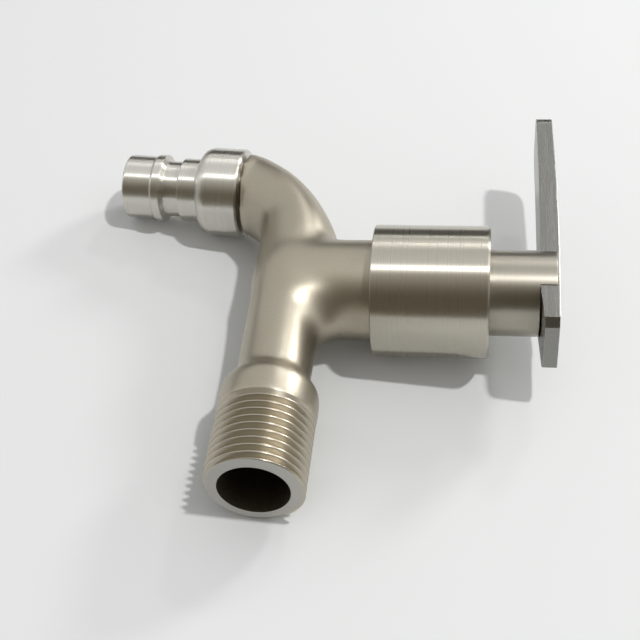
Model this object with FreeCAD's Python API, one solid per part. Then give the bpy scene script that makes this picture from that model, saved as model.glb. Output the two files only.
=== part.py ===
import FreeCAD, Part

import math
import os

from FreeCAD import Placement, Rotation, Vector

# A wall tap for a washing machine: a cast body with a threaded inlet, a quarter turn
# ceramic cartridge under a turned sleeve, a lever handle, and a hose nozzle.
# Millimetres. The origin is the middle of the inlet's open end, +Y points into the wall,
# +Z points up along the cartridge and -Y is the side that the spout and lever point to.
# Heights named ..._z are above the inlet's axis. The lever is drawn shut.

# Inlet
thread_major_d = 20.955
thread_pitch = 1.8143
thread_angle = 55.0
thread_length = 17.9
thread_runout = 2.0
thread_start_angle = 192.0
thread_end_chamfer = 0.3
inlet_bore_d = 15.0
inlet_bore_depth = 24.0
inlet_collar_d = 21.4
inlet_collar_length = 6.3
inlet_collar_edge = 1.5
inlet_shoulder_length = 3.6
pipe_d = 16.2
valve_reach = 56.2

# Cast valve chamber and neck
neck_d = 22.6
chamber_ball_z = 2.7
chamber_belly = 0.35
inlet_blend = 8.0
spout_blend = 2.5
casting_wall = 2.0
passage_d = 9.6
passage_drop = 1.5
seat_z = 4.8
seat_bore_d = 9.2

# Spout
skin_radius = 46.0
skin_centre_forward = 2.0
skin_crown_z = 11.6
throat_d = 16.2
throat_angle = 30.0
throat_growth = 0.075
spout_end_d = 20.3
spout_end_shift = 0.45
spout_bore_d = 11.2
nozzle_forward = 31.43
nozzle_tilt = 4.64
spout_end_drop = 14.1
tail_thread_d = 16.4
tail_length = 5.8

# Hose nozzle, lengths along its own axis
collar_gap = 0.75
collar_d = 21.5
collar_length = 10.8
collar_rear_edge = 0.4
collar_front_round = 2.9
nipple_base_d = 15.46
nipple_base_length = 4.7
lock_groove_d = 13.7
lock_groove_length = 4.75
lock_groove_flank = 0.8
bead_d = 16.5
bead_length = 2.4
nipple_front_d = 15.56
nipple_front_length = 7.05
nipple_front_round = 0.5
nozzle_bore_d = 10.4
nozzle_gasket_thickness = 1.5
nozzle_gasket_hole_d = 11.0

# Socket head of the body and the cartridge's screwed seat
head_z = 20.6
head_gap = 0.3
head_top_z = 32.0
cartridge_thread_d = 20.8
cartridge_thread_bottom_z = 21.0
chamber_d = 18.8
outlet_port_d = 14.6
outlet_port_z = 1.2

# Sleeve
sleeve_d = 29.6
sleeve_bottom_z = 19.72
sleeve_top_z = 45.34
sleeve_wall = 1.3
sleeve_thread_top_z = 27.5
sleeve_top_thickness = 2.0
sleeve_top_hole_d = 22.0
sleeve_top_round = 0.6
sleeve_bottom_edge = 0.15
sleeve_ring_z = 29.4
sleeve_ring_section = 1.3
bush_height = 2.4
bush_lip_height = 0.6
bush_lip_width = 0.9

# Cartridge
seal_width = 2.4
seal_height = 2.8
support_ring_wall = 0.5
support_ring_inset = 0.3
disc_d = 14.4
disc_clearance = 0.2
fixed_disc_thickness = 2.8
moving_disc_thickness = 3.0
disc_film = 0.02
port_inner_d = 4.4
port_rim = 1.0
port_angle = 80.0
drive_slot_width = 3.0
drive_slot_depth = 1.4
drive_tongue_gap = 0.1
drive_tongue_height = 1.2
foot_thickness = 3.0
washer_thickness = 0.8
stem_d = 10.0
running_gap = 0.04
housing_skirt_wall = 0.9
housing_bottom_z = 5.4
window_angle = 80.0
window_height = 5.2
gasket_thickness = 1.0
gasket_width = 1.5
hex_gap = 0.9
hex_height = 5.0
hex_edge = 0.8
housing_crown_d = 17.6
housing_crown_height = 2.4
stop_recess_d = 14.8
stop_recess_depth = 2.0
stop_ring_d = 11.8
stop_ring_gap = 0.3
stop_lug_angle = 40.0
stop_clearance_angle = 2.5
stop_flats = 8.6
turn_angle = 90.0
clip_thickness = 0.8
clip_groove_d = 8.4
clip_d = 14.0
clip_opening_angle = 50.0
o_ring_section = 1.35
o_ring_groove_d = 7.2
o_ring_groove_width = 1.8
o_ring_lower_z = 21.4
o_ring_upper_z = 33.4
o_ring_gap = 0.06
spline_d = 8.0
spline_tooth = 0.45
spline_teeth = 20
spline_bottom_z = 42.4
spline_length = 8.4
spline_gap = 0.05

# Handle
hub_d = 19.2
hub_bottom_z = 42.6
hub_top_z = 59.97
hub_top_edge = 0.3
hub_socket_clearance = 0.6
bush_gap = 0.06
grub_screw_d = 4.0
grub_screw_z = 47.2
grub_socket_af = 2.0
grub_socket_depth = 2.2
grub_inset = 0.5
lever_width = 16.0
lever_tip_width = 15.4
lever_front_reach = 55.75
lever_taper_start = 23.6
lever_rear_reach = 16.4
lever_rear_peak = 0.2
lever_rear_chamfer = 1.7
lever_tip_round = 4.8
lever_bottom_z = 56.15
lever_top_z = 60.3
lever_crown_y = 2.0
lever_tip_top_drop = 1.15
lever_rear_top_drop = 0.2
lever_tip_thickness = 3.6
lever_tail_thickness = 2.95

# Worked out from the values above
fundamental_height = thread_pitch / (2 * math.tan(math.radians(thread_angle / 2)))
thread_depth = 2 / 3 * fundamental_height
thread_minor_d = thread_major_d - 2 * thread_depth
skin_centre_z = skin_crown_z - skin_radius
sleeve_bore_d = sleeve_d - 2 * sleeve_wall
head_d = sleeve_bore_d - 2 * head_gap
seal_d = disc_d
seal_hole_d = seal_d - 2 * seal_width
port_outer_d = disc_d - 2 * port_rim
housing_skirt_d = disc_d + 2 * disc_clearance + 2 * housing_skirt_wall
gasket_d = cartridge_thread_d + 2 * gasket_width
hex_across_flats = sleeve_bore_d - 2 * hex_gap - 4 * hex_edge
fixed_disc_z = seat_z + seal_height
moving_disc_z = fixed_disc_z + fixed_disc_thickness + disc_film
foot_z = moving_disc_z + moving_disc_thickness
washer_z = foot_z + foot_thickness
cavity_top_z = washer_z + washer_thickness + running_gap
gasket_z = head_top_z
hex_z = gasket_z + gasket_thickness
crown_z = hex_z + hex_height
housing_top_z = crown_z + housing_crown_height
stop_floor_z = housing_top_z - stop_recess_depth
clip_z = housing_top_z + running_gap
tail_end_drop = spout_end_drop + tail_length
collar_start = spout_end_drop + collar_gap
web_start = tail_end_drop + nozzle_gasket_thickness
nipple_start = collar_start + collar_length
groove_start = nipple_start + nipple_base_length
bead_start = groove_start + lock_groove_length
front_start = bead_start + bead_length
nozzle_end = front_start + nipple_front_length

os.makedirs("parts", exist_ok=True)


def save(name, shape):
    shape.exportStep("parts/" + name + ".step")


def turned(points, angle=360.0):
    # solid of revolution about +Z from (radius, height) points; a point with three values
    # is the middle of an arc between its neighbours
    knots = [Vector(point[0], 0, point[1]) for point in points]
    edges = []
    index = 0
    while index < len(points):
        after = (index + 1) % len(points)
        if len(points[after]) == 3:
            last = (after + 1) % len(points)
            edges.append(Part.Arc(knots[index], knots[after], knots[last]).toShape())
            index += 2
        else:
            edges.append(Part.makeLine(knots[index], knots[after]))
            index += 1
    return Part.Face(Part.Wire(edges)).revolve(Vector(0, 0, 0), Vector(0, 0, 1), angle)


def rounded_corner(radius, height, size, turn):
    # three points that round the corner at (radius, height); turn is the way in and the way
    # out, each as (radial, axial) unit steps away from the corner
    way_in, way_out = turn
    first = (radius + way_in[0] * size, height + way_in[1] * size)
    last = (radius + way_out[0] * size, height + way_out[1] * size)
    pull = 1 - math.sqrt(0.5)
    middle_r = radius + (way_in[0] + way_out[0]) * size * pull
    middle_z = height + (way_in[1] + way_out[1]) * size * pull
    return [first, (middle_r, middle_z, "arc"), last]


def tube(outer_d, inner_d, bottom, top):
    outer, inner = outer_d / 2, inner_d / 2
    return turned([(inner, bottom), (outer, bottom), (outer, top), (inner, top)])


def rod(diameter, bottom, top):
    return Part.makeCylinder(diameter / 2, top - bottom, Vector(0, 0, bottom))


def sector(inner_d, outer_d, bottom, top, middle, width):
    # part of a ring about +Z, width degrees wide, its middle at the given direction
    inner, outer = inner_d / 2, outer_d / 2
    piece = turned([(inner, bottom), (outer, bottom), (outer, top), (inner, top)], width)
    piece.rotate(Vector(0, 0, 0), Vector(0, 0, 1), middle - width / 2)
    return piece


def at_valve(shape):
    # from the cartridge's own axis to its place in the tap
    shape.translate(Vector(0, -valve_reach, 0))
    return shape


def along_inlet(shape):
    # a piece turned about +Z, its height measured inward from the inlet's open end
    shape.Placement = Placement(Vector(0, 0, 0), Rotation(Vector(1, 0, 0), 90)).multiply(shape.Placement)
    return shape


def along_nozzle(shape):
    # a piece turned about +Z, its height measured down the nozzle's axis
    lean = Rotation(Vector(1, 0, 0), 180 - nozzle_tilt)
    place = Placement(Vector(0, -valve_reach - nozzle_forward, 0), lean)
    shape.Placement = place.multiply(shape.Placement)
    return shape


def valve_point(forward, height):
    return Vector(0, -valve_reach - forward, height)


def nozzle_point(drop, forward):
    # drop is along the nozzle's axis, forward is square to it and away from the wall
    lean = math.radians(nozzle_tilt)
    y = nozzle_forward + drop * math.sin(lean) + forward * math.cos(lean)
    z = -drop * math.cos(lean) + forward * math.sin(lean)
    return valve_point(y, z)


def section(low, high):
    # circle that spans two points of the middle plane, square to it
    across = high - low
    middle = (low + high) * 0.5
    normal = Vector(1, 0, 0).cross(across).normalize()
    ring = Part.Wire(Part.makeCircle(across.Length / 2, middle, normal))
    ring.rotate(middle, normal, 90)  # it starts at the side, where the sections are evenly spaced
    return ring


def on_arc(radius, angle):
    turn = math.radians(angle)
    forward = skin_centre_forward + radius * math.sin(turn)
    return valve_point(forward, skin_centre_z + radius * math.cos(turn))


def underside(angle):
    # distance from the spout's arc centre to the skin below the pipe, then round the throat
    belly = chamber_belly * max(0.0, 1 - angle / throat_angle)
    pipe_line = (-skin_centre_z - pipe_d / 2 - belly) / math.cos(math.radians(angle))
    growth = throat_growth * max(0.0, angle - throat_angle)
    return min(pipe_line, skin_radius - throat_d - growth)


def spout_loft(inset):
    # the casting's skin from the pipe round to the nozzle, or its bore when inset
    half = pipe_d / 2 - inset
    wires = []
    if inset == 0:
        low = -half - chamber_belly
        wires.append(section(valve_point(0.0, low), valve_point(0.0, half)))
        wires.append(section(valve_point(5.0, low), valve_point(5.0, half + 1.4)))
    for skin_angle, low_angle in ((12, 12), (20, 20), (27, 27), (35, 33), (43, 38), (52, 42.5)):
        low = on_arc(underside(low_angle) + inset, low_angle)
        wires.append(section(low, on_arc(skin_radius - inset, skin_angle)))
    end_half, shift = spout_end_d / 2, spout_end_shift
    if inset > 0:
        end_half, shift = spout_bore_d / 2, 0.0
    end_low = nozzle_point(spout_end_drop, -end_half - shift)
    wires.append(section(end_low, nozzle_point(spout_end_drop, end_half - shift)))
    return Part.makeLoft(wires, True, False, False, 3)


def thread_cutter():
    # one V groove swept along the helix, kept out of the run-out cone beside the collar
    root_half = fundamental_height / 6 * math.tan(math.radians(thread_angle / 2))
    reach = 0.15
    flank = (thread_depth + reach) * math.tan(math.radians(thread_angle / 2))
    root_r = thread_minor_d / 2
    crest_r = root_r + thread_depth + reach
    corners = [
        Vector(root_r, 0, -root_half),
        Vector(crest_r, 0, -root_half - flank),
        Vector(crest_r, 0, root_half + flank),
        Vector(root_r, 0, root_half),
    ]
    profile = Part.Wire(Part.makePolygon(corners + corners[:1]).Edges)
    helix = Part.makeHelix(thread_pitch, thread_length + 2 * thread_pitch, root_r)
    groove = Part.Wire(helix.Edges).makePipeShell([profile], True, True)
    groove.translate(Vector(0, 0, -thread_pitch))
    groove.rotate(Vector(0, 0, 0), Vector(0, 0, 1), thread_start_angle)
    outside = crest_r + 1
    allowed = turned([
        (root_r - 0.5, -2 * thread_pitch),
        (outside, -2 * thread_pitch),
        (outside, thread_length),
        (thread_major_d / 2 + 0.01, thread_length),
        (root_r - 0.01, thread_length - thread_runout),
        (root_r - 0.5, thread_length - thread_runout),
    ])
    return groove.common(allowed)


def inlet_skin():
    thread_r = thread_major_d / 2
    collar_r = inlet_collar_d / 2
    pipe_r = pipe_d / 2
    collar_end = thread_length + inlet_collar_length
    shoulder_end = collar_end + inlet_shoulder_length
    step = collar_r - pipe_r
    blank = turned([
        (0, 0),
        (thread_r - thread_end_chamfer, 0),
        (thread_r, thread_end_chamfer),
        (thread_r, thread_length),
        (collar_r, thread_length + inlet_collar_edge),
        (collar_r, collar_end),
        (collar_r - step * 0.3, collar_end + inlet_shoulder_length * 0.35, "arc"),
        (pipe_r, shoulder_end),
        (pipe_r, valve_reach),
        (0, valve_reach),
    ])
    return along_inlet(blank)


def neck_skin():
    # a round chamber below, drawn up into the neck
    neck_r = neck_d / 2
    foot = neck_r * math.sqrt(0.5)
    return at_valve(turned([
        (0, chamber_ball_z - neck_r),
        (foot, chamber_ball_z - foot, "arc"),
        (neck_r, chamber_ball_z),
        (neck_r, head_z),
        (0, head_z),
    ]))


def shared_edges(shape, one, other):
    # edges of the fused shape that lie on both of the skins that met there
    found = []
    for edge in shape.Edges:
        start, span = edge.FirstParameter, edge.LastParameter - edge.FirstParameter
        spots = [Part.Vertex(edge.valueAt(start + span * k / 6)) for k in range(1, 6)]
        gaps = [spot.distToShape(skin)[0] for spot in spots for skin in (one, other)]
        if max(gaps) < 0.001:
            found.append(edge)
    return found


def body_skin():
    neck = neck_skin()
    inlet = inlet_skin()
    spout = spout_loft(0.0)
    skin = neck.fuse(inlet)
    skin = skin.makeFillet(inlet_blend, shared_edges(skin, neck.Shells[0], inlet.Shells[0]))
    joined = skin.fuse(spout)
    return joined.makeFillet(spout_blend, shared_edges(joined, skin.Shells[0], spout.Shells[0]))


def body_waterway():
    bore_r = inlet_bore_d / 2
    passage_r = passage_d / 2
    mouth = along_inlet(turned([
        (0, -1), (bore_r, -1), (bore_r, inlet_bore_depth),
        (passage_r, inlet_bore_depth + bore_r - passage_r), (0, inlet_bore_depth + bore_r - passage_r),
    ]))
    passage = along_inlet(rod(passage_d, inlet_bore_depth, valve_reach))
    passage.translate(Vector(0, 0, -passage_drop))
    riser = at_valve(rod(seat_bore_d, -passage_drop, seat_z + 1))
    chamber = at_valve(rod(chamber_d, seat_z, cartridge_thread_bottom_z))
    screwed = at_valve(rod(cartridge_thread_d, cartridge_thread_bottom_z, head_top_z + 1))
    port_rear, port_front = chamber_d / 2 - 1.4, chamber_d / 2 + 4.0
    port = Part.makeCylinder(outlet_port_d / 2, port_front - port_rear,
                             valve_point(port_rear, outlet_port_z), Vector(0, -1, 0))
    above_seat = Part.makeBox(2 * outlet_port_d, 2 * outlet_port_d, outlet_port_d,
                              Vector(-outlet_port_d, -valve_reach - 2 * outlet_port_d, seat_z))
    port = port.common(above_seat)
    bore = spout_loft(casting_wall)
    tail = along_nozzle(rod(spout_bore_d, spout_end_drop - 0.5, tail_end_drop + 1))
    cut = mouth
    for piece in (passage, riser, chamber, screwed, port, bore, tail):
        cut = cut.fuse(piece)
    return cut


def tap_body():
    head = at_valve(rod(head_d, head_z, head_top_z))
    ring_r = head_d / 2 - sleeve_ring_section + (sleeve_bore_d - head_d) / 2
    ring_groove = at_valve(tube(head_d + 2, 2 * ring_r, sleeve_ring_z - sleeve_ring_section * 0.6,
                                sleeve_ring_z + sleeve_ring_section * 0.6))
    tail = along_nozzle(rod(tail_thread_d, spout_end_drop - 1, tail_end_drop))
    body = body_skin().fuse(head).fuse(tail).cut(ring_groove)
    body = body.cut(body_waterway())
    body = body.cut(along_inlet(thread_cutter()))
    return body.removeSplitter()


def hose_nozzle():
    front = rounded_corner(nipple_front_d / 2, nozzle_end, nipple_front_round, ((0, -1), (-1, 0)))
    rim = rounded_corner(collar_d / 2, nipple_start, collar_front_round, ((0, -1), (-1, 0)))
    bead_step = (bead_d - lock_groove_d) / 2
    profile = [
        (tail_thread_d / 2, collar_start),
        (collar_d / 2 - collar_rear_edge, collar_start),
        (collar_d / 2, collar_start + collar_rear_edge),
    ] + rim + [
        (nipple_base_d / 2, nipple_start),
        (nipple_base_d / 2, groove_start),
        (lock_groove_d / 2, groove_start),
        (lock_groove_d / 2, bead_start - lock_groove_flank),
        (lock_groove_d / 2 + bead_step, bead_start),
        (bead_d / 2, front_start - bead_step * 0.4),
        (nipple_front_d / 2, front_start),
    ] + front + [
        (nozzle_bore_d / 2 + 0.4, nozzle_end),
        (nozzle_bore_d / 2, nozzle_end - 0.4),
        (nozzle_bore_d / 2, web_start),
        (tail_thread_d / 2, web_start),
    ]
    return along_nozzle(turned(profile))


def nozzle_gasket():
    return along_nozzle(tube(tail_thread_d - 0.2, nozzle_gasket_hole_d, tail_end_drop, web_start))


def bonnet_sleeve():
    outer, bore = sleeve_d / 2, sleeve_bore_d / 2
    ceiling = sleeve_top_z - sleeve_top_thickness
    rim = rounded_corner(outer, sleeve_top_z, sleeve_top_round, ((0, -1), (-1, 0)))
    return at_valve(turned([
        (head_d / 2, sleeve_bottom_z + sleeve_bottom_edge),
        (head_d / 2 + sleeve_bottom_edge, sleeve_bottom_z),
        (outer - sleeve_bottom_edge, sleeve_bottom_z),
        (outer, sleeve_bottom_z + sleeve_bottom_edge),
    ] + rim + [
        (sleeve_top_hole_d / 2, sleeve_top_z),
        (sleeve_top_hole_d / 2, ceiling),
        (bore, ceiling),
        (bore, sleeve_thread_top_z),
        (head_d / 2, sleeve_thread_top_z - (bore - head_d / 2)),
    ]))


def sleeve_o_ring():
    section_r = sleeve_ring_section / 2
    return at_valve(Part.makeTorus(sleeve_bore_d / 2 - section_r, section_r, Vector(0, 0, sleeve_ring_z)))


def guide_bush():
    outer, inner = sleeve_top_hole_d / 2, hub_d / 2 + bush_gap
    top = sleeve_top_z - 0.2
    under = sleeve_top_z - sleeve_top_thickness
    return at_valve(turned([
        (inner, under - bush_lip_height), (outer + bush_lip_width, under - bush_lip_height),
        (outer + bush_lip_width, under), (outer, under), (outer, top), (inner, top),
    ]))


def butterfly(outer_d, bottom, top, middle):
    # two opposite ports
    one = sector(port_inner_d, outer_d, bottom, top, middle, port_angle)
    return one.fuse(sector(port_inner_d, outer_d, bottom, top, middle + 180, port_angle))


def cartridge_housing():
    skirt, bore = housing_skirt_d / 2, stem_d / 2 + running_gap
    cavity = disc_d / 2 + disc_clearance
    screwed = cartridge_thread_d / 2
    crown = housing_crown_d / 2
    shell = turned([
        (cavity, housing_bottom_z), (skirt, housing_bottom_z), (skirt, cartridge_thread_bottom_z + 0.6),
        (screwed, cartridge_thread_bottom_z + 0.6 + screwed - skirt), (screwed, hex_z),
        (crown, hex_z), (crown, housing_top_z), (bore, housing_top_z), (bore, cavity_top_z),
        (cavity, cavity_top_z),
    ])
    nut = hexagon(hex_across_flats, hex_z, hex_height)
    nut = nut.common(turned_corners(hex_across_flats, hex_z, hex_height))
    nut = nut.cut(rod(housing_crown_d - 2, hex_z - 1, crown_z + 1))
    shell = shell.fuse(nut)
    window_z = moving_disc_z + 0.4
    window_top_z = window_z + window_height
    windows = sector(stem_d, housing_skirt_d + 2, window_z, window_top_z, 90, window_angle)
    other = sector(stem_d, housing_skirt_d + 2, window_z, window_top_z, 270, window_angle)
    windows = windows.fuse(other)
    sweep = turn_angle + stop_lug_angle + 2 * stop_clearance_angle
    above = housing_top_z + 1
    recess = sector(stem_d - 1, stop_recess_d, stop_floor_z, above, turn_angle / 2 - 90, sweep)
    ring_room = tube(stop_ring_d + 2 * stop_ring_gap, stem_d - 1, stop_floor_z, above)
    recess = recess.fuse(ring_room)
    return at_valve(shell.cut(windows).cut(recess).removeSplitter())


def hexagon(across_flats, bottom, height):
    corner = across_flats / math.sqrt(3)
    points = []
    for k in range(7):
        angle = math.radians(60 * k)
        points.append(Vector(corner * math.cos(angle), corner * math.sin(angle), bottom))
    return Part.Face(Part.makePolygon(points)).extrude(Vector(0, 0, height))


def turned_corners(across_flats, bottom, height):
    # the drum that takes a nut's corners off, top and bottom
    flat_r = across_flats / 2
    wide_r = flat_r + hex_edge * 2
    top = bottom + height
    return turned([
        (0, bottom), (flat_r, bottom), (wide_r, bottom + hex_edge),
        (wide_r, top - hex_edge), (flat_r, top), (0, top),
    ])


def housing_gasket():
    return at_valve(tube(gasket_d, cartridge_thread_d, gasket_z, hex_z))


def seat_seal():
    return at_valve(tube(seal_d, seal_hole_d, seat_z, fixed_disc_z))


def seal_support_ring():
    return at_valve(tube(seal_hole_d, seal_hole_d - 2 * support_ring_wall,
                         seat_z + support_ring_inset, fixed_disc_z))


def fixed_disc():
    blank = rod(disc_d, fixed_disc_z, fixed_disc_z + fixed_disc_thickness)
    ports = butterfly(port_outer_d, fixed_disc_z - 1, moving_disc_z, 90)
    return at_valve(blank.cut(ports))


def moving_disc():
    blank = rod(disc_d - 0.2, moving_disc_z, foot_z)
    openings = butterfly(disc_d + 2, moving_disc_z - 1, foot_z + 1, 0)
    slot = Part.makeBox(drive_slot_width, disc_d + 2, drive_slot_depth + 1,
                        Vector(-drive_slot_width / 2, -disc_d / 2 - 1, foot_z - drive_slot_depth))
    return at_valve(blank.cut(openings).cut(slot))


def spline_star(extra, bottom, top):
    # outer spline as a ring of V teeth, extra makes the matching socket
    tip = spline_d / 2 + extra
    root = tip - spline_tooth
    points = []
    for k in range(2 * spline_teeth + 1):
        angle = math.pi * k / spline_teeth
        radius = tip if k % 2 == 0 else root
        points.append(Vector(radius * math.cos(angle), radius * math.sin(angle), bottom))
    return Part.Face(Part.makePolygon(points)).extrude(Vector(0, 0, top - bottom))


def stem():
    foot = rod(disc_d - 0.2, foot_z, washer_z)
    foot = foot.cut(butterfly(disc_d + 2, foot_z - 1, washer_z + 1, 0))
    half = drive_slot_width / 2 - drive_tongue_gap
    tongue = Part.makeBox(2 * half, disc_d - 1.4, drive_tongue_height,
                          Vector(-half, -disc_d / 2 + 0.7, foot_z - drive_tongue_height))
    shaft = rod(stem_d, washer_z - 1, spline_bottom_z)
    for z in (o_ring_lower_z, o_ring_upper_z):
        shaft = shaft.cut(tube(stem_d + 2, o_ring_groove_d, z - o_ring_groove_width / 2,
                               z + o_ring_groove_width / 2))
    shaft = shaft.cut(tube(stem_d + 2, clip_groove_d, clip_z, clip_z + clip_thickness))
    for side in (-1, 1):
        flat = Part.makeBox(stem_d, 2 * stem_d, spline_bottom_z - stop_floor_z + 1,
                            Vector(stop_flats / 2 if side > 0 else -stop_flats / 2 - stem_d,
                                   -stem_d, stop_floor_z + running_gap))
        shaft = shaft.cut(flat)
    star = spline_star(0.0, spline_bottom_z - 0.5, spline_bottom_z + spline_length)
    return at_valve(foot.fuse(tongue).fuse(shaft).fuse(star).removeSplitter())


def stem_o_ring(height):
    section_r = o_ring_section / 2
    ring_r = o_ring_groove_d / 2 + section_r
    return at_valve(Part.makeTorus(ring_r, section_r, Vector(0, 0, height)))


def thrust_washer():
    return at_valve(tube(disc_d - 0.4, stem_d, washer_z, washer_z + washer_thickness))


def stop_ring():
    bottom = stop_floor_z + running_gap
    height = housing_top_z - bottom
    ring = rod(stop_ring_d, bottom, housing_top_z)
    lug = sector(stem_d, stop_recess_d - 2 * stop_ring_gap, bottom, housing_top_z, -90, stop_lug_angle)
    hole = rod(stem_d, bottom - 1, housing_top_z + 1)
    between_flats = Part.makeBox(stop_flats, 2 * stem_d, height + 2,
                                 Vector(-stop_flats / 2, -stem_d, bottom - 1))
    hole = hole.common(between_flats)
    return at_valve(ring.fuse(lug).cut(hole).removeSplitter())


def retaining_clip():
    ring = tube(clip_d, clip_groove_d, clip_z, clip_z + clip_thickness)
    gap = sector(0.0, clip_d + 2, clip_z - 1, clip_z + clip_thickness + 1, 90, clip_opening_angle)
    return at_valve(ring.cut(gap))


def lever_plan():
    # the outline seen from above, as a prism that reaches below and above the plate
    wide, narrow = lever_width / 2, lever_tip_width / 2
    front, rear = -lever_front_reach, lever_rear_reach
    cut, tip = lever_rear_chamfer, lever_tip_round
    pull = tip * (1 - math.sqrt(0.5))
    right = [
        Vector(0, rear, 0),
        Vector(wide - cut, rear - lever_rear_peak, 0),
        Vector(wide, rear - lever_rear_peak - cut, 0),
        Vector(wide, -lever_taper_start, 0),
        Vector(narrow, front + tip, 0),
        Vector(narrow - tip, front, 0),
    ]
    left = [Vector(-p.x, p.y, 0) for p in right]
    corner = Part.Arc(right[4], Vector(narrow - pull, front + pull, 0), right[5]).toShape()
    other = Part.Arc(left[5], Vector(-narrow + pull, front + pull, 0), left[4]).toShape()
    edges = [Part.makeLine(right[k], right[k + 1]) for k in range(4)]
    edges += [corner, Part.makeLine(right[5], left[5]), other]
    edges += [Part.makeLine(left[k + 1], left[k]) for k in range(3, -1, -1)]
    prism = Part.Face(Part.Wire(edges)).extrude(Vector(0, 0, lever_top_z - lever_bottom_z + 6))
    prism.translate(Vector(0, 0, lever_bottom_z - 3))
    return prism


def lever_side():
    # side view, drawn on the middle plane, longer than the outline that trims it
    front, rear = -lever_front_reach - 1, lever_rear_reach + 1
    tip_top = lever_top_z - lever_tip_top_drop
    tip_low = tip_top - lever_tip_thickness
    rear_top = lever_top_z - lever_rear_top_drop
    hub_rear = math.sqrt((hub_d / 2) ** 2 - (lever_width / 2) ** 2)
    top = Part.Arc(Vector(0, front, tip_top), Vector(0, lever_crown_y, lever_top_z),
                   Vector(0, rear, rear_top)).toShape()
    low_mid = Vector(0, (front - hub_d / 2) / 2, (tip_low + lever_bottom_z) / 2 + 0.12)
    low_hub = Vector(0, -hub_d / 2, lever_bottom_z)
    low_out = Vector(0, hub_rear, lever_bottom_z)
    low_rear = Vector(0, rear, rear_top - lever_tail_thickness)
    edges = [
        top,
        Part.makeLine(Vector(0, rear, rear_top), low_rear),
        Part.makeLine(low_rear, low_out),
        Part.makeLine(low_out, low_hub),
        Part.Arc(low_hub, low_mid, Vector(0, front, tip_low)).toShape(),
        Part.makeLine(Vector(0, front, tip_low), Vector(0, front, tip_top)),
    ]
    slab = Part.Face(Part.Wire(edges)).extrude(Vector(lever_width + 4, 0, 0))
    slab.translate(Vector(-lever_width / 2 - 2, 0, 0))
    return slab


def lever_plate():
    return at_valve(lever_side().common(lever_plan()))


def handle_hub():
    outer = hub_d / 2
    blank = turned([
        (0, hub_bottom_z), (outer - hub_top_edge, hub_bottom_z), (outer, hub_bottom_z + hub_top_edge),
        (outer, hub_top_z - hub_top_edge), (outer - hub_top_edge, hub_top_z), (0, hub_top_z),
    ])
    slot = Part.makeBox(lever_width, hub_d + 2, hub_top_z - lever_bottom_z + 1,
                        Vector(-lever_width / 2, -hub_d / 2 - 1, lever_bottom_z))
    socket_top = spline_bottom_z + spline_length + hub_socket_clearance
    socket = spline_star(spline_gap, hub_bottom_z - 1, socket_top)
    screw_hole = Part.makeCylinder(grub_screw_d / 2, hub_d, Vector(0, 0, grub_screw_z), Vector(-1, 0, 0))
    return at_valve(blank.cut(slot).cut(socket).cut(screw_hole))


def grub_screw():
    tip = spline_d / 2
    outer = hub_d / 2 - grub_inset
    screw = Part.makeCylinder(grub_screw_d / 2, outer - tip, Vector(0, 0, 0), Vector(0, 0, 1))
    key = hexagon(grub_socket_af, outer - tip - grub_socket_depth, grub_socket_depth + 1)
    screw = screw.cut(key)
    screw.Placement = Placement(Vector(-tip, 0, grub_screw_z), Rotation(Vector(0, 1, 0), -90))
    return at_valve(screw)


save("tap_body", tap_body())
save("hose_nozzle", hose_nozzle())
save("nozzle_gasket", nozzle_gasket())
save("bonnet_sleeve", bonnet_sleeve())
save("sleeve_o_ring", sleeve_o_ring())
save("guide_bush", guide_bush())
save("cartridge_housing", cartridge_housing())
save("housing_gasket", housing_gasket())
save("seat_seal", seat_seal())
save("seal_support_ring", seal_support_ring())
save("fixed_disc", fixed_disc())
save("moving_disc", moving_disc())
save("stem", stem())
save("stem_o_ring_lower", stem_o_ring(o_ring_lower_z))
save("stem_o_ring_upper", stem_o_ring(o_ring_upper_z))
save("thrust_washer", thrust_washer())
save("stop_ring", stop_ring())
save("retaining_clip", retaining_clip())
save("handle_hub", handle_hub())
save("lever_plate", lever_plate())
save("grub_screw", grub_screw())
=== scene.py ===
import bpy
import math
import bmesh
import numpy as np
from mathutils import Euler, Matrix, Vector


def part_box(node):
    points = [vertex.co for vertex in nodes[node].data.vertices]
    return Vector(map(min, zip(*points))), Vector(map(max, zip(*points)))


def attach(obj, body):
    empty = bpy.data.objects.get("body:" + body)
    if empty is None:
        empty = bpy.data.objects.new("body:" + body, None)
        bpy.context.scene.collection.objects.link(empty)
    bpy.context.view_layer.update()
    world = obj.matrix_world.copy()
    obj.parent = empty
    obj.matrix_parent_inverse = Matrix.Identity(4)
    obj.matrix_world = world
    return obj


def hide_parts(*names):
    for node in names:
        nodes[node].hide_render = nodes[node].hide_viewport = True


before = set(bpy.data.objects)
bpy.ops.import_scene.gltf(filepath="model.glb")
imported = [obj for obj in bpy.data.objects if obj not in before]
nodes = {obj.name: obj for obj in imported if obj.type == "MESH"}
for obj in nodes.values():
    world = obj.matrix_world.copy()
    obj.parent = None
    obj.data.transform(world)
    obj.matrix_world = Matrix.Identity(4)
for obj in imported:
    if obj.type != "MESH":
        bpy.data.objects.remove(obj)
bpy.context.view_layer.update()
mm = 0.001
print("tap: frame loaded with", len(nodes), "pieces")

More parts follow.
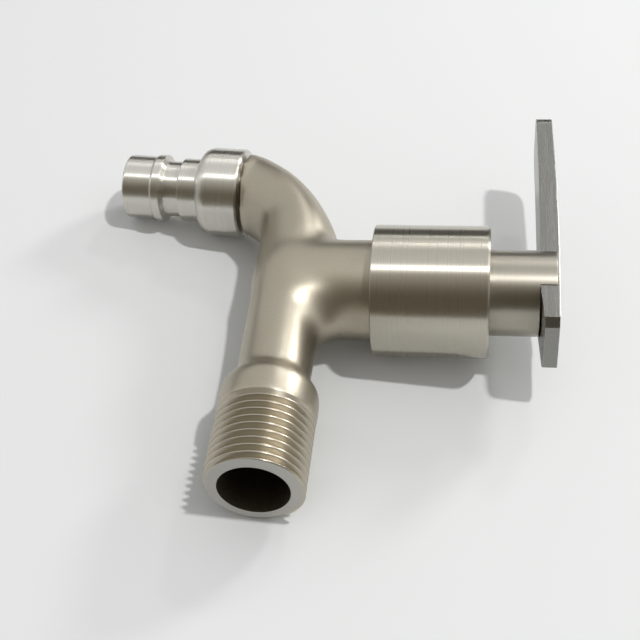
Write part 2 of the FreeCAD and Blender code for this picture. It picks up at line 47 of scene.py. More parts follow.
inlet = {
    "threadRadius": 10.48 * mm,
    "boreRadius": 7.5 * mm,
    "boreMargin": 0.1 * mm,  # faces this near the bore's radius still count as the bore
    "endDepth": 0.3 * mm,  # faces this near the open end that also look out of it are the faced end
    "endFacing": 0.9,
}
nozzle = {
    "axisY": -87.63 * mm,
    "tilt": math.radians(-4.64),
    "collarRim": 22.2 * mm,  # how far down its axis the collar's round front starts
    "collarRadius": 10.75 * mm,
}
nozzle["axis"] = Vector((0, -math.sin(nozzle["tilt"]), math.cos(nozzle["tilt"])))
valveAxis = (0, -56.2 * mm, 0)  # neck, cartridge, sleeve and hub are centred on the line along Z through it


def linearColour(hexText):
    # sRGB hex to the linear values that the shaders want
    channels = []
    for start in (1, 3, 5):
        value = int(hexText[start:start + 2], 16) / 255
        channels.append(value / 12.92 if value <= 0.04045 else ((value + 0.055) / 1.055) ** 2.4)
    return (*channels, 1.0)


def add(material, kind, settings=None, **links):
    # one node: settings go on the node itself, links on its sockets (a value or another node's socket);
    # a socket goes by its name, or by its number as in _6
    node = material.node_tree.nodes.new(kind)
    for name, value in (settings or {}).items():
        setattr(node, name, value)
    for name, value in links.items():
        socket = node.inputs[int(name[1:])] if name[1:].isdigit() else node.inputs[name.replace("_", " ")]
        if isinstance(value, bpy.types.NodeSocket):
            material.node_tree.links.new(value, socket)
        else:
            socket.default_value = value
    return node


def newMaterial(name):
    material = bpy.data.materials.new(name)
    material.use_nodes = True
    material.node_tree.nodes.clear()
    return material


def finishMaterial(material, shader):
    output = add(material, "ShaderNodeOutputMaterial")
    material.node_tree.links.new(shader.outputs[0], output.inputs["Surface"])
    return material


twoTones = {"data_type": "RGBA"}  # a Mix node for colours: they go in at 6 and 7 and come out at 2
eased = {"interpolation_type": "SMOOTHSTEP"}
noiseSpan = {"From_Min": 0.3, "From_Max": 0.7}  # nearly all values of a noise lie between these

# settings for rounding outer edges in the shading and for the painted highlight along them
paintedEdgeHighlight = {
    "width": 0.22 * mm,  # how far in from an edge the rounding and the painted highlight reach
    "tone": "#E2DFD8",
    "share": 0.55,  # how much of the painted highlight's tone the edge takes on
    "polish": 0.06,  # how much smoother it is
    "edgeTurn": (0.85, 0.985),  # an edge is where the rounded face turns away from the flat one
    "freeRoom": (0.65, 0.9),  # hollows have less open room than this and get no painted highlight
}


def roundedEdgesPaintedBright(material, tone, roughness):
    # outer edges get a painted highlight and are made smoother and slightly round; hollows stay as they were
    # made
    rounded = add(material, "ShaderNodeBevel", {"samples": 8}, Radius=paintedEdgeHighlight["width"]).outputs[0]
    face = add(material, "ShaderNodeNewGeometry").outputs["Normal"]
    turn = add(material, "ShaderNodeVectorMath", {"operation": "DOT_PRODUCT"}, _0=rounded, _1=face)
    sharp, flat = paintedEdgeHighlight["edgeTurn"]
    edge = add(material, "ShaderNodeMapRange", eased, Value=turn.outputs["Value"],
               From_Min=sharp, From_Max=flat, To_Min=paintedEdgeHighlight["share"], To_Max=0.0)
    room = add(material, "ShaderNodeAmbientOcclusion", {"samples": 4, "only_local": True},
               Distance=3 * paintedEdgeHighlight["width"])
    hollow, free = paintedEdgeHighlight["freeRoom"]
    reached = add(material, "ShaderNodeMapRange", eased, Value=room.outputs["AO"],
                  From_Min=hollow, From_Max=free, To_Min=0.0, To_Max=1.0)
    paintedHighlight = add(material, "ShaderNodeMath", {"operation": "MULTIPLY"},
               _0=edge.outputs["Result"], _1=reached.outputs["Result"]).outputs[0]
    # painted highlight: the edge's colour is mixed toward a brighter tone
    bright = add(material, "ShaderNodeMix", twoTones, Factor=paintedHighlight, _6=tone, _7=linearColour(paintedEdgeHighlight["tone"]))
    smoother = add(material, "ShaderNodeMath", {"operation": "MULTIPLY_ADD"},
                   _0=paintedHighlight, _1=-paintedEdgeHighlight["polish"], _2=roughness)
    return bright.outputs[2], smoother.outputs[0], rounded


turned = {
    "tones": ("#B7B2A6", "#C0BBAF"),
    "roughness": 0.3,
    "roughnessRange": (-0.03, 0.05),  # how far the lines take it down and up
    "anisotropy": 1.0,
    "toolPitch": 0.16 * mm,  # feed marks of the lathe, drawn about twice as coarse as real so that they show
    "lineDepth": 0.0008 * mm,
    "centre": valveAxis,  # a point on the axis that the piece was turned about
    "tilt": 0.0,  # that axis against Z
    "tangentAxis": "Z",
}


def turnedMetal(name, **own):
    # fine lines round the axis, as a lathe tool leaves them, stretch each reflection along the axis
    look = {**turned, **own}
    material = newMaterial(name)
    place = add(material, "ShaderNodeTexCoord").outputs["Object"]
    local = add(material, "ShaderNodeMapping", {"vector_type": "TEXTURE"},
                Vector=place, Location=look["centre"], Rotation=(look["tilt"], 0, 0)).outputs[0]
    height = add(material, "ShaderNodeSeparateXYZ", Vector=local).outputs["Z"]
    across = add(material, "ShaderNodeVectorMath", {"operation": "MULTIPLY"}, _0=local, _1=(1, 1, 0))
    radius = add(material, "ShaderNodeVectorMath", {"operation": "LENGTH"}, _0=across.outputs[0])
    along = add(material, "ShaderNodeMath", {"operation": "ADD"}, _0=radius.outputs["Value"], _1=height)
    lines = add(material, "ShaderNodeTexNoise", {"noise_dimensions": "1D"}, W=along.outputs[0],
                Scale=0.5 / look["toolPitch"], Detail=3.0, Roughness=0.6).outputs["Fac"]
    low, high = (look["roughness"] + change for change in look["roughnessRange"])
    sheen = add(material, "ShaderNodeMapRange", Value=lines, **noiseSpan, To_Min=low, To_Max=high)
    lowTone, highTone = (linearColour(tone) for tone in look["tones"])
    tone = add(material, "ShaderNodeMix", twoTones, Factor=lines, _6=lowTone, _7=highTone)
    colour, roughness, rounded = roundedEdgesPaintedBright(material, tone.outputs[2], sheen.outputs[0])
    bump = add(material, "ShaderNodeBump", Strength=1.0, Distance=look["lineDepth"], Height=lines,
               Normal=rounded)
    tangent = add(material, "ShaderNodeTangent", {"direction_type": "RADIAL", "axis": look["tangentAxis"]})
    shader = add(material, "ShaderNodeBsdfPrincipled", Base_Color=colour, Metallic=1.0, Roughness=roughness,
                 Anisotropic=look["anisotropy"], Anisotropic_Rotation=0.25,  # turned to run along the axis
                 Normal=bump.outputs[0], Tangent=tangent.outputs[0])
    return finishMaterial(material, shader)


brushed = {
    # these tones are painted shade: darker than the steel's own grey, since its flat faces show a dark room
    "tones": ("#807F7B", "#93928E"),
    "roughness": (0.22, 0.32),
    "anisotropy": 0.5,
    "lineWidth": 0.12 * mm,  # 180 grit leaves lines half as wide, too fine to show here
    "lineLength": 9 * mm,
    "lineDepth": 0.003 * mm,
}


def brushedStainless():
    # flat 304 bar, belt-brushed along its length, with long hairlines and a soft sheen across them; its grey
    # is darkened as painted shade, for the dark room that its flat faces reflect
    material = newMaterial("beltBrushedStainless")
    place = add(material, "ShaderNodeTexCoord").outputs["Object"]
    drawn = add(material, "ShaderNodeMapping", Vector=place,
                Scale=(1.0, brushed["lineWidth"] / brushed["lineLength"], 1.0))
    lines = add(material, "ShaderNodeTexNoise", Vector=drawn.outputs[0], Scale=0.5 / brushed["lineWidth"],
                Detail=3.0, Roughness=0.6).outputs["Fac"]
    lowTone, highTone = (linearColour(tone) for tone in brushed["tones"])
    tone = add(material, "ShaderNodeMix", twoTones, Factor=lines, _6=lowTone, _7=highTone)
    low, high = brushed["roughness"]
    sheen = add(material, "ShaderNodeMapRange", Value=lines, **noiseSpan, To_Min=low, To_Max=high)
    colour, roughness, rounded = roundedEdgesPaintedBright(material, tone.outputs[2], sheen.outputs[0])
    bump = add(material, "ShaderNodeBump", Strength=1.0, Distance=brushed["lineDepth"], Height=lines,
               Normal=rounded)
    tangent = add(material, "ShaderNodeTangent", {"direction_type": "RADIAL", "axis": "Y"})
    shader = add(material, "ShaderNodeBsdfPrincipled", Base_Color=colour, Metallic=1.0, Roughness=roughness,
                 Anisotropic=brushed["anisotropy"], Normal=bump.outputs[0], Tangent=tangent.outputs[0])
    return finishMaterial(material, shader)


# each noise is the size of its spots, its detail and its roughness; relief is how strong and how deep
grainyLooks = {
    # cast 304 stainless steel, blasted and lightly brushed: a satin skin with soft, wide highlights
    "castBlastedStainless": {
        "tones": ("#AAA292", "#B6AFA0"), "speckle": (0.5 * mm, 4.0, 0.6), "relief": (0.8, 0.016 * mm),
        "patches": (14 * mm, 2.0, 0.5), "roughness": (0.34, 0.42), "metallic": 1.0,
    },
    # the casting's inside as it left the mould, dull and rough; its dark tone is painted shade, so the bore
    # reads as a deep hole
    "rawCastBorePaintedShade": {
        "tones": ("#5A5348", "#7D7567"), "speckle": (0.7 * mm, 5.0, 0.7), "relief": (0.8, 0.05 * mm),
        "roughness": 0.6, "metallic": 1.0,
    },
    # NBR rubber rings and seals, moulded: near black and matt, with a bloom of paler dust
    "mouldedRubber": {
        "tones": ("#171615", "#2B2A29"), "speckle": (1.5 * mm, 4.0, 0.5), "relief": (0.5, 0.01 * mm),
        "grain": (0.15 * mm, 2.0, 0.5), "roughness": 0.6,
    },
    # natural acetal, injection moulded: milky white with a slight sheen and faint flow clouds
    "mouldedAcetal": {
        "tones": ("#DDD9CE", "#EBE8DF"), "speckle": (5 * mm, 3.0, 0.5), "relief": (0.4, 0.006 * mm),
        "grain": (0.25 * mm, 2.0, 0.5), "roughness": 0.38,
    },
    # vulcanised fibre, pressed and punched: brick red and dry, with short paper fibres
    "pressedVulcanisedFibre": {
        "tones": ("#6B2F24", "#8E4A38"), "speckle": (0.2 * mm, 4.0, 0.5), "relief": (0.6, 0.02 * mm),
        "stretch": (1.0, 0.25, 1.0), "roughness": 0.75,
    },
    # sintered alumina, lapped flat: ivory and glossy, with pores that only just show
    "lappedAlumina": {
        "tones": ("#E3DFD4", "#F0EDE5"), "speckle": (0.3 * mm, 3.0, 0.5), "roughness": (0.12, 0.22),
    },
    # spring steel, rolled and tempered: dark grey with a faint straw tint in patches
    "temperedSpringSteel": {
        "tones": ("#7B7C7E", "#8F8C84"), "speckle": (2 * mm, 3.0, 0.5), "relief": (0.5, 0.008 * mm),
        "grain": (0.2 * mm, 3.0, 0.5), "roughness": 0.38, "metallic": 1.0,
    },
}


def grainyFinish(name):
    # tone follows the speckle; relief follows the grain and sheen the patches, or else the speckle too
    look = grainyLooks[name]
    material = newMaterial(name)
    place = add(material, "ShaderNodeTexCoord").outputs["Object"]
    if "stretch" in look:
        place = add(material, "ShaderNodeMapping", Vector=place, Scale=look["stretch"]).outputs[0]
    noises = {}
    for use in ("speckle", "grain", "patches"):
        if use in look:
            size, detail, rough = look[use]
            noises[use] = add(material, "ShaderNodeTexNoise", Vector=place, Scale=1 / size, Detail=detail,
                              Roughness=rough).outputs["Fac"]
    lowTone, highTone = (linearColour(tone) for tone in look["tones"])
    tone = add(material, "ShaderNodeMix", twoTones, Factor=noises["speckle"], _6=lowTone, _7=highTone)
    roughness = look["roughness"]
    if isinstance(roughness, tuple):
        low, high = roughness
        roughness = add(material, "ShaderNodeMapRange", Value=noises.get("patches", noises["speckle"]),
                        **noiseSpan, To_Min=low, To_Max=high).outputs[0]
    shader = add(material, "ShaderNodeBsdfPrincipled", Base_Color=tone.outputs[2], Roughness=roughness,
                 Metallic=look.get("metallic", 0.0))
    if "relief" in look:
        strength, depth = look["relief"]
        bump = add(material, "ShaderNodeBump", Strength=strength, Distance=depth,
                   Height=noises.get("grain", noises["speckle"]))
        material.node_tree.links.new(bump.outputs[0], shader.inputs["Normal"])
    return finishMaterial(material, shader)


# 304 stainless, turned bright; the nozzle is paler, and the hub darker with duller, wider highlights
sleeveFinish = turnedMetal("turnedStainlessSleeve")
nozzleFinish = turnedMetal("turnedStainlessNozzle", centre=(0, nozzle["axisY"], 0), tilt=nozzle["tilt"],
                           tones=("#CFCCC4", "#DAD7CF"))
casting = grainyFinish("castBlastedStainless")
# thread and end face are cut into the casting round the inlet's axis, which lies along Y: brighter and
# crisper than the blasted skin, with lines that run round the inlet
inletAxis = {"centre": (0, 0, 0), "tilt": math.radians(90), "tangentAxis": "Y"}
threadFinish = turnedMetal("cutStainlessThread", **inletAxis, tones=("#AEA696", "#BDB6A7"), roughness=0.32,
                           anisotropy=0.5)
faceFinish = turnedMetal("facedStainlessEnd", **inletAxis, tones=("#ACAAA4", "#B7B5AF"), roughness=0.34,
                         anisotropy=0.4)
hubFinish = turnedMetal("turnedStainlessHub", tones=("#A39E93", "#AEA99E"), roughness=0.38, anisotropy=0.75)
borePaintedShade = grainyFinish("rawCastBorePaintedShade")
# free-cutting brass, turned: warm yellow with the same fine lines
brass = turnedMetal("turnedBrass", tones=("#B8925A", "#CBA76C"))
rubber = grainyFinish("mouldedRubber")
acetal = grainyFinish("mouldedAcetal")
fibre = grainyFinish("pressedVulcanisedFibre")
alumina = grainyFinish("lappedAlumina")
springSteel = grainyFinish("temperedSpringSteel")
finishes = {
    "tap_body": casting,
    "hose_nozzle": nozzleFinish,
    "bonnet_sleeve": sleeveFinish,
    "handle_hub": hubFinish,
    "lever_plate": brushedStainless(),
    "cartridge_housing": brass,
    "stem": brass,
    "stop_ring": brass,
    "nozzle_gasket": rubber,
    "sleeve_o_ring": rubber,
    "seat_seal": rubber,
    "stem_o_ring_lower": rubber,
    "stem_o_ring_upper": rubber,
    "guide_bush": acetal,
    "seal_support_ring": acetal,
    "thrust_washer": acetal,
    "housing_gasket": fibre,
    "fixed_disc": alumina,
    "moving_disc": alumina,
    "retaining_clip": springSteel,
    "grub_screw": springSteel,
}
for name, node in nodes.items():
    node.data.materials.clear()
    node.data.materials.append(finishes[name])
print("tap: finishes assigned")

squareMm = mm * mm
skin = {
    "voxel": 0.4 * mm,
    "voxelRounds": 6,  # smooths away the voxels' steps
    "seamY": -18.3 * mm,  # in the groove above the thread: the thread keeps the CAD's own mesh
    "pipeRadius": 8.1 * mm,
    "neckRadius": 11.3 * mm,
    # the flow line from pipe to nozzle: y, z, half height and half width in mm
    "flowLine": [
        (-30, 0, 8.1, 8.1), (-38, 0, 8.1, 8.2), (-46, 0, 8.1, 9.2), (-52, -0.1, 8.2, 9.9),
        (-56.2, -0.17, 8.27, 10.2), (-61.2, 0.53, 8.97, 10.4), (-65.75, 1.14, 9.66, 10.45),
        (-70.83, 0.3, 9.07, 10.4), (-75.33, -0.77, 8.26, 10.3), (-79.45, -3.16, 8.24, 10.2),
        (-82.87, -6.07, 8.55, 10.0), (-86.07, -9.6, 9.08, 9.8), (-88.32, -14.09, 10.15, 9.8),
    ],
    "lineSteps": 161,  # points that the flow line is read at
    "lineRound": 8,  # each is the mean of this many on both sides
    "flankEndZ": -13.4 * mm,
    "flankTaper": 0.12,  # the flanks narrow by this share towards the nozzle
    "flankTaperZ": (-9 * mm, -13 * mm),
    "flankFull": 1.5 * mm,  # from this much wider than round, the join's full softness holds
    # softness of the joins, and the reaches at which it sets in and ends, all as squared reach
    "sideBlend": 50 * squareMm,
    "sideStart": 60 * squareMm,
    "elbowBlend": 150 * squareMm,
    "elbowStart": (-20 * squareMm, 30 * squareMm),
    "elbowEnd": (62 * squareMm, 118 * squareMm),
    "elbowTop": 16 * mm,
    "middleHold": (0.3 * mm, 5 * mm),  # the widening sets in between these, so the outline stays
    # the hollows beside pipe, neck and spout fill up in cycles, least in the middle; here and below, the
    # smoothing sets in at the first of a pair of places and is full at the second
    "cycles": 5,
    "cycleRounds": 60,
    "settleRounds": 110,
    "junctionY": (-33 * mm, -42 * mm),
    "junctionTop": (18 * mm, 11 * mm),
    "junctionFoot": (-13 * mm, -7 * mm),
    "middleShare": 0.06,
    "middleWidth": (2 * mm, 6 * mm),
    # collar and shoulder lose their sharp edges, as a blasted casting does, and so does the spout's end
    "collarRounds": 80,
    "collarY": (-18.6 * mm, -20 * mm),
    "shoulderY": (-40 * mm, -34 * mm),
    "rimRounds": 15,
    "rimZ": (-12 * mm, -13 * mm),
    # y and z in mm along pipe, neck and spout, to tell the outer skin from the bore
    "middleLine": [
        (0, 0), (-56.2, 0), (-56.2, 32), (-56.2, 0), (-72, 1), (-82, -5), (-87.6, -14), (-88, -22),
    ],
}


def ramp(values, low, high):
    # 0 at low, 1 at high, eased at both ends
    part = np.clip((values - low) / (high - low), 0, 1)
    return part * part * (3 - 2 * part)


def softMax(one, other, softness):
    # the larger of two squared reaches, with a soft turn where they are nearly equal
    softness = np.maximum(softness, 1e-12)  # never 0, since the next line divides by it
    overlap = np.maximum(softness - np.abs(one - other), 0) / softness
    return np.maximum(one, other) + overlap ** 2 * softness / 4


def roundedFlowLine():
    coarse = np.array(skin["flowLine"]) * mm
    run = np.concatenate([[0], np.cumsum(np.linalg.norm(np.diff(coarse[:, :2], axis=0), axis=1))])
    steps = np.linspace(0, run[-1], skin["lineSteps"])
    line = np.stack([np.interp(steps, run, coarse[:, column]) for column in range(4)], axis=1)
    near = skin["lineRound"]
    for column in range(4):
        padded = np.pad(line[:, column], near, mode="reflect", reflect_type="odd")
        line[:, column] = np.convolve(padded, np.ones(2 * near + 1) / (2 * near + 1), mode="valid")
    return line


def flankReach(points):
    # squared sideways reach of the widened flow line at each point, and how much wider than round it is
    line = roundedFlowLine()
    nearest = np.full(len(points), np.inf)
    index = np.zeros(len(points), int)
    for number, (y, z) in enumerate(line[:, :2]):
        distance = np.hypot(points[:, 1] - y, points[:, 2] - z)
        closer = distance < nearest
        nearest[closer] = distance[closer]
        index[closer] = number
    # between two of the line's points
    before, after = line[np.maximum(index - 1, 0)], line[np.minimum(index + 1, len(line) - 1)]
    chord = (after - before)[:, :2]
    share = ((points[:, 1:] - line[index, :2]) * chord).sum(axis=1) / (chord ** 2).sum(axis=1)
    place = np.clip(index + np.clip(share * 2, -0.5, 0.5), 0, len(line) - 1)
    y, z, high, wide = (np.interp(place, np.arange(len(line)), line[:, column]) for column in range(4))
    nearest = np.hypot(points[:, 1] - y, points[:, 2] - z)
    taper = 1 - skin["flankTaper"] * ramp(points[:, 2], *skin["flankTaperZ"])
    reach = wide ** 2 * (1 - (nearest / high) ** 2) * taper * (points[:, 2] > skin["flankEndZ"])
    return np.maximum(reach, 0), np.clip((wide - high) / skin["flankFull"], 0, 1)


def elbowReach(points):
    # squared reach of the soft elbow between the pipe and the neck
    y, z = points[:, 1], points[:, 2]
    pipe = skin["pipeRadius"] ** 2 - z ** 2
    neck = skin["neckRadius"] ** 2 - (y - valveAxis[1]) ** 2
    larger = np.maximum(pipe, neck)
    softness = skin["elbowBlend"] * (1 - ramp(larger, *skin["elbowEnd"]))
    softness *= ramp(larger, *skin["elbowStart"])
    inside = (z > 0) & (z < skin["elbowTop"]) & (y > valveAxis[1])
    return softMax(pipe, neck, softness) * inside


def pointArrays(mesh):
    points = np.empty(len(mesh.vertices) * 3)
    mesh.vertices.foreach_get("co", points)
    normals = np.empty(len(mesh.vertices) * 3)
    mesh.vertex_normals.foreach_get("vector", normals)
    return points.reshape(-1, 3), normals.reshape(-1, 3)


def facesOut(points, normals):
    # which points are on the outer skin: their normals turn away from the casting's middle line
    line = np.array([(0, y * mm, z * mm) for y, z in skin["middleLine"]])
    nearest = np.full(len(points), np.inf)
    outward = np.zeros(len(points))
    for start, end in zip(line[:-1], line[1:]):
        run = end - start
        share = np.clip((points - start) @ run / (run @ run), 0, 1)
        away = points - (start + share[:, None] * run)
        distance = np.linalg.norm(away, axis=1)
        closer = distance < nearest
        nearest[closer] = distance[closer]
        outward[closer] = (away * normals).sum(axis=1)[closer]
    return outward > 0


def keepModifiers(piece):
    graph = bpy.context.evaluated_depsgraph_get()
    mesh = bpy.data.meshes.new_from_object(piece.evaluated_get(graph))
    piece.modifiers.clear()
    old = piece.data
    piece.data = mesh
    bpy.data.meshes.remove(old)


def smoothRounds(piece, rounds, group=""):
    # averages each point with its neighbours
    modifier = piece.modifiers.new("smooth", "SMOOTH")
    modifier.factor = 0.5
    modifier.iterations = rounds
    modifier.vertex_group = group
    keepModifiers(piece)


def addGroup(piece, name, weight, steps=20):
    # the weights go in rounded to steps, since a group takes one weight for many points
    group = piece.vertex_groups.new(name=name)
    for step in range(1, steps + 1):
        chosen = np.nonzero(np.round(weight * steps) == step)[0].tolist()
        group.add(chosen, step / steps, "REPLACE")


def cutAtSeam(mesh, keepWall):
    # keeps one side of the seam's plane: the walls of pipe, neck and spout, or the thread
    work = bmesh.new()
    work.from_mesh(mesh)
    bmesh.ops.bisect_plane(work, geom=work.verts[:] + work.edges[:] + work.faces[:],
                           plane_co=(0, skin["seamY"], 0), plane_no=(0, 1, 0),
                           clear_inner=not keepWall, clear_outer=keepWall)
    work.to_mesh(mesh)
    work.free()


def widenFlanks(piece, outer):
    # moves the outer skin sideways to the wider flow line and the soft elbow
    points = pointArrays(piece.data)[0]
    own = points[:, 0] ** 2
    reach, wider = flankReach(points)
    softness = skin["sideBlend"] * wider * ramp(np.maximum(own, reach), 0, skin["sideStart"])
    wanted = np.maximum(softMax(own, reach, softness), elbowReach(points))
    gain = ramp(np.abs(points[:, 0]), *skin["middleHold"])
    points[outer, 0] = (np.sign(points[:, 0]) * np.sqrt(own + (wanted - own) * gain))[outer]
    piece.data.vertices.foreach_set("co", points.ravel())
    piece.data.update()


def fillHollows(piece):
    # smooths the junction in cycles and puts back what sank, so only hollows change
    before, normals = pointArrays(piece.data)
    for cycle in range(skin["cycles"]):
        smoothRounds(piece, skin["cycleRounds"], "junction")
        after = pointArrays(piece.data)[0]
        sunk = ((after - before) * normals).sum(axis=1) < 0
        after[sunk] = before[sunk]
        piece.data.vertices.foreach_set("co", after.ravel())
    smoothRounds(piece, skin["settleRounds"], "junction")
    return ((after - before) * normals).sum(axis=1).max()


def makeCasting():
    # the body's casting, wider and softer where pipe, neck and spout meet, as a one-piece mould gives it
    source = nodes["tap_body"]
    piece = bpy.data.objects.new("bodyCasting", source.data.copy())
    bpy.context.scene.collection.objects.link(piece)
    remesh = piece.modifiers.new("remesh", "REMESH")
    remesh.mode = "VOXEL"
    remesh.voxel_size = skin["voxel"]
    keepModifiers(piece)
    smoothRounds(piece, skin["voxelRounds"])
    outer = facesOut(*pointArrays(piece.data))
    widenFlanks(piece, outer)

    x, y, z = pointArrays(piece.data)[0].T
    sides = skin["middleShare"] + (1 - skin["middleShare"]) * ramp(np.abs(x), *skin["middleWidth"])
    upright = ramp(z, *skin["junctionTop"]) * ramp(z, *skin["junctionFoot"])
    addGroup(piece, "junction", outer * sides * ramp(y, *skin["junctionY"]) * upright)
    addGroup(piece, "collar", outer * ramp(y, *skin["collarY"]) * ramp(y, *skin["shoulderY"]))
    smoothRounds(piece, skin["collarRounds"], "collar")
    addGroup(piece, "rim", ramp(z, *skin["rimZ"]))
    smoothRounds(piece, skin["rimRounds"], "rim")
    filled = fillHollows(piece)

    cutAtSeam(piece.data, keepWall=True)
    threaded = source.data.copy()
    cutAtSeam(threaded, keepWall=False)
    joined = bmesh.new()
    joined.from_mesh(piece.data)
    joined.from_mesh(threaded)
    joined.to_mesh(piece.data)
    joined.free()
    bpy.data.meshes.remove(threaded)
    piece.data.materials.clear()
    piece.data.shade_smooth()
    for finish in (casting, threadFinish, borePaintedShade, faceFinish):  # 0, 1, 2 and 3 below
        piece.data.materials.append(finish)
    boreReach = inlet["boreRadius"] + inlet["boreMargin"]
    for face in piece.data.polygons:
        middle = face.center
        face.material_index = 0
        # faces in the bore get the painted shade
        if middle.y > valveAxis[1] and math.hypot(middle.x, middle.z) < boreReach:
            face.material_index = 2
        elif middle.y > -inlet["endDepth"] and face.normal.y > inlet["endFacing"]:
            face.material_index = 3
        elif middle.y > skin["seamY"]:
            face.material_index = 1
    print("tap: casting has", len(piece.data.vertices), "points, most filled", round(filled / mm, 2), "mm")
    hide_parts("tap_body")
    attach(piece, "tap")


makeCasting()

studio = {
    "tableSize": 3.0,
    "tableColour": "#E8E9E8",
    "tableGap": 0.1 * mm,  # the touching rims are rounded in the mesh, so the sheet lies just under them
    "worldLight": 0.49,
    "aim": Vector((0, -0.05, 0.02)),  # the lamps point at the tap's middle
}
# place, width in metres, watts
lamps = {
    "keyLamp": ((1.0, -0.016, 0.512), 0.06, 5.0),
    "windowLamp": ((0.63, -0.76, 0.37), 0.1, 0.6),
    "sideLamp": ((0.36, -0.76, 0.66), 0.2, 2.9),
}
# long lamps that only gloss sees: from, to, width, watts
strips = {
    "elbowLamp": ((0.68, -0.12, 0.7), (0.45, -0.55, 0.74), 0.12, 1.2),
    "crestLamp": ((0.42, -0.93, 0.12), (0.2, -0.9, 0.46), 0.1, 0.65),
}
# cards that only gloss sees: x and y of foot and top, the part of the height where the low tone fades
# into the high one, and both tones
cards = {
    "nearCard": ((-0.02, 0.7), (1.1, 0.2), (0.36, 0.95), "#6B6456", "#BDB8AF"),
    "farCard": ((-0.02, -0.8), (0.31, -0.8), (0.8, 1.0), "#504E4A", "#6C6A66"),
}


def tablePlane():
    # the tap lies on the sleeve's lower rim, the inlet's end and the nozzle's collar, given as
    # each rim's middle, radius and axis
    lowSleeve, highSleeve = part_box("bonnet_sleeve")
    sleeveY = (lowSleeve.y + highSleeve.y) / 2
    collarMiddle = Vector((0, nozzle["axisY"], 0)) - nozzle["axis"] * nozzle["collarRim"]
    rims = [
        (Vector((0, sleeveY, lowSleeve.z)), highSleeve.x, Vector((0, 0, 1))),
        (Vector((0, 0, 0)), inlet["threadRadius"], Vector((0, 1, 0))),
        (collarMiddle, nozzle["collarRadius"], nozzle["axis"]),
    ]
    facing = Vector((1, 0, 0))
    for attempt in range(4):  # each finds the lowest points for the last facing, which soon settles
        points = []
        for middle, radius, axis in rims:
            outward = (facing - axis * facing.dot(axis)).normalized()
            points.append(middle - outward * radius)
        facing = (points[1] - points[0]).cross(points[2] - points[0]).normalized()
        if facing.x < 0:
            facing.negate()
    return points[0] - facing * studio["tableGap"], facing


def makeTable():
    # a matte sheet under the lying tap; seen from behind it is clear, so that it hides nothing
    point, facing = tablePlane()
    half = studio["tableSize"] / 2
    mesh = bpy.data.meshes.new("table")
    corners = [(-half, -half, 0), (half, -half, 0), (half, half, 0), (-half, half, 0)]
    mesh.from_pydata(corners, [], [(0, 1, 2, 3)])
    table = bpy.data.objects.new("table", mesh)
    table.location = point
    table.rotation_euler = facing.to_track_quat("Z", "Y").to_euler()
    bpy.context.scene.collection.objects.link(table)
    material = newMaterial("matteTable")
    face = add(material, "ShaderNodeNewGeometry")
    matte = add(material, "ShaderNodeBsdfDiffuse", Color=linearColour(studio["tableColour"]))
    clear = add(material, "ShaderNodeBsdfTransparent")
    both = add(material, "ShaderNodeMixShader", Fac=face.outputs["Backfacing"], _1=matte.outputs[0],
               _2=clear.outputs[0])
    table.data.materials.append(finishMaterial(material, both))


def makeLamp(name, place, width, watts):
    lamp = bpy.data.lights.new(name, "AREA")
    lamp.shape = "DISK"
    lamp.size = width
    lamp.energy = watts
    holder = bpy.data.objects.new(name, lamp)
    holder.location = place
    holder.rotation_euler = (studio["aim"] - Vector(place)).to_track_quat("-Z", "Y").to_euler()
    bpy.context.scene.collection.objects.link(holder)
    return holder


def makeStrip(name, start, end, width, watts):
    # a lamp whose length runs from start to end
    start, end = Vector(start), Vector(end)
    holder = makeLamp(name, (start + end) / 2, width, watts)
    holder.data.shape = "RECTANGLE"
    holder.data.size_y = (end - start).length
    back = (holder.location - studio["aim"]).normalized()
    across = (end - start).cross(back).normalized()
    holder.rotation_euler = Matrix((across, back.cross(across), back)).transposed().to_euler()
    holder.visible_diffuse = False


def makeWorld():
    # even white light on the tap; the camera and reflections see the table's colour all round
    world = bpy.data.worlds.new("studio")
    world.use_nodes = True
    world.node_tree.nodes.clear()
    rays = add(world, "ShaderNodeLightPath").outputs
    either = {"operation": "MAXIMUM"}
    seen = add(world, "ShaderNodeMath", either, _0=rays["Is Camera Ray"], _1=rays["Is Glossy Ray"])
    shown = add(world, "ShaderNodeMath", either, _0=seen.outputs[0], _1=rays["Is Transmission Ray"])
    light = add(world, "ShaderNodeBackground", Color=(1, 1, 1, 1), Strength=studio["worldLight"])
    pale = add(world, "ShaderNodeBackground", Color=linearColour(studio["tableColour"]), Strength=1.0)
    both = add(world, "ShaderNodeMixShader", Fac=shown.outputs[0], _1=light.outputs[0], _2=pale.outputs[0])
    output = add(world, "ShaderNodeOutputWorld")
    world.node_tree.links.new(both.outputs[0], output.inputs["Surface"])
    bpy.context.scene.world = world


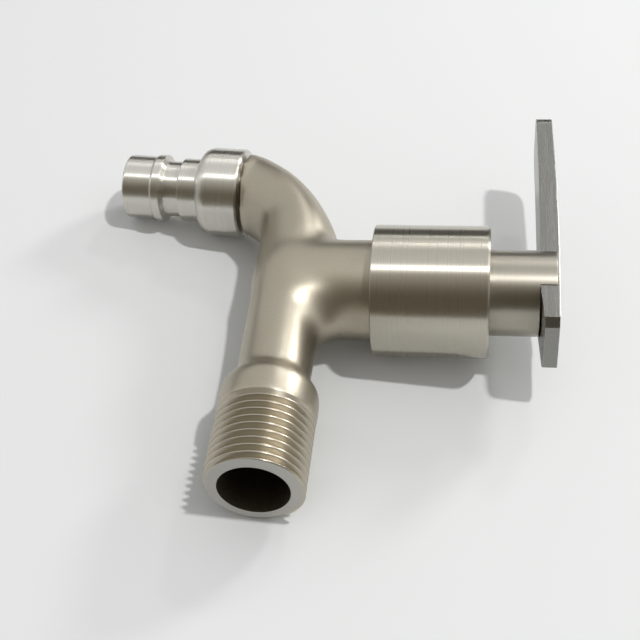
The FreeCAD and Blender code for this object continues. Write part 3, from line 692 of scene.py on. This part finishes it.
def makeCard(name, foot, top, fade, lowTone, highTone):
    # beside the table: it gives the metal its dark bands
    half = studio["tableSize"] / 2
    mesh = bpy.data.meshes.new(name)
    corners = [(*foot, -half), (*top, -half), (*top, half), (*foot, half)]
    mesh.from_pydata(corners, [], [(0, 1, 2, 3)])
    card = bpy.data.objects.new(name, mesh)
    bpy.context.scene.collection.objects.link(card)
    material = newMaterial(name)
    place = add(material, "ShaderNodeTexCoord").outputs["Object"]
    height = add(material, "ShaderNodeSeparateXYZ", Vector=place).outputs["X"]
    start, end = (foot[0] + part * (top[0] - foot[0]) for part in fade)
    rise = add(material, "ShaderNodeMapRange", eased, Value=height, From_Min=start, From_Max=end,
               To_Min=0.0, To_Max=1.0)
    tone = add(material, "ShaderNodeMix", twoTones, Factor=rise.outputs["Result"],
               _6=linearColour(lowTone), _7=linearColour(highTone))
    glow = add(material, "ShaderNodeEmission", Color=tone.outputs[2], Strength=1.0)
    card.data.materials.append(finishMaterial(material, glow))
    for ray in ("camera", "diffuse", "shadow", "transmission", "volume_scatter"):
        setattr(card, "visible_" + ray, False)


makeTable()
makeWorld()
for name, values in lamps.items():
    makeLamp(name, *values)
for name, values in strips.items():
    makeStrip(name, *values)
for name, values in cards.items():
    makeCard(name, *values)
bpy.context.scene.view_settings.view_transform = "Standard"
print("tap: table, world and lamps made")

photoCamera = {
    "place": (203.07 * mm, 144.10 * mm, 45.73 * mm),
    "turnDegrees": (-10.094, -82.201, -126.613),
    "lens": 71.3,
    "sensor": 36.0,
    "clipStart": 0.01,
}


def makeCamera():
    data = bpy.data.cameras.new("photoCamera")
    data.lens = photoCamera["lens"]
    data.sensor_width = photoCamera["sensor"]
    data.clip_start = photoCamera["clipStart"]
    holder = bpy.data.objects.new("photoCamera", data)
    turn = Euler([math.radians(value) for value in photoCamera["turnDegrees"]])
    holder.matrix_world = Matrix.Translation(Vector(photoCamera["place"])) @ turn.to_matrix().to_4x4()
    bpy.context.scene.collection.objects.link(holder)
    bpy.context.scene.camera = holder


makeCamera()
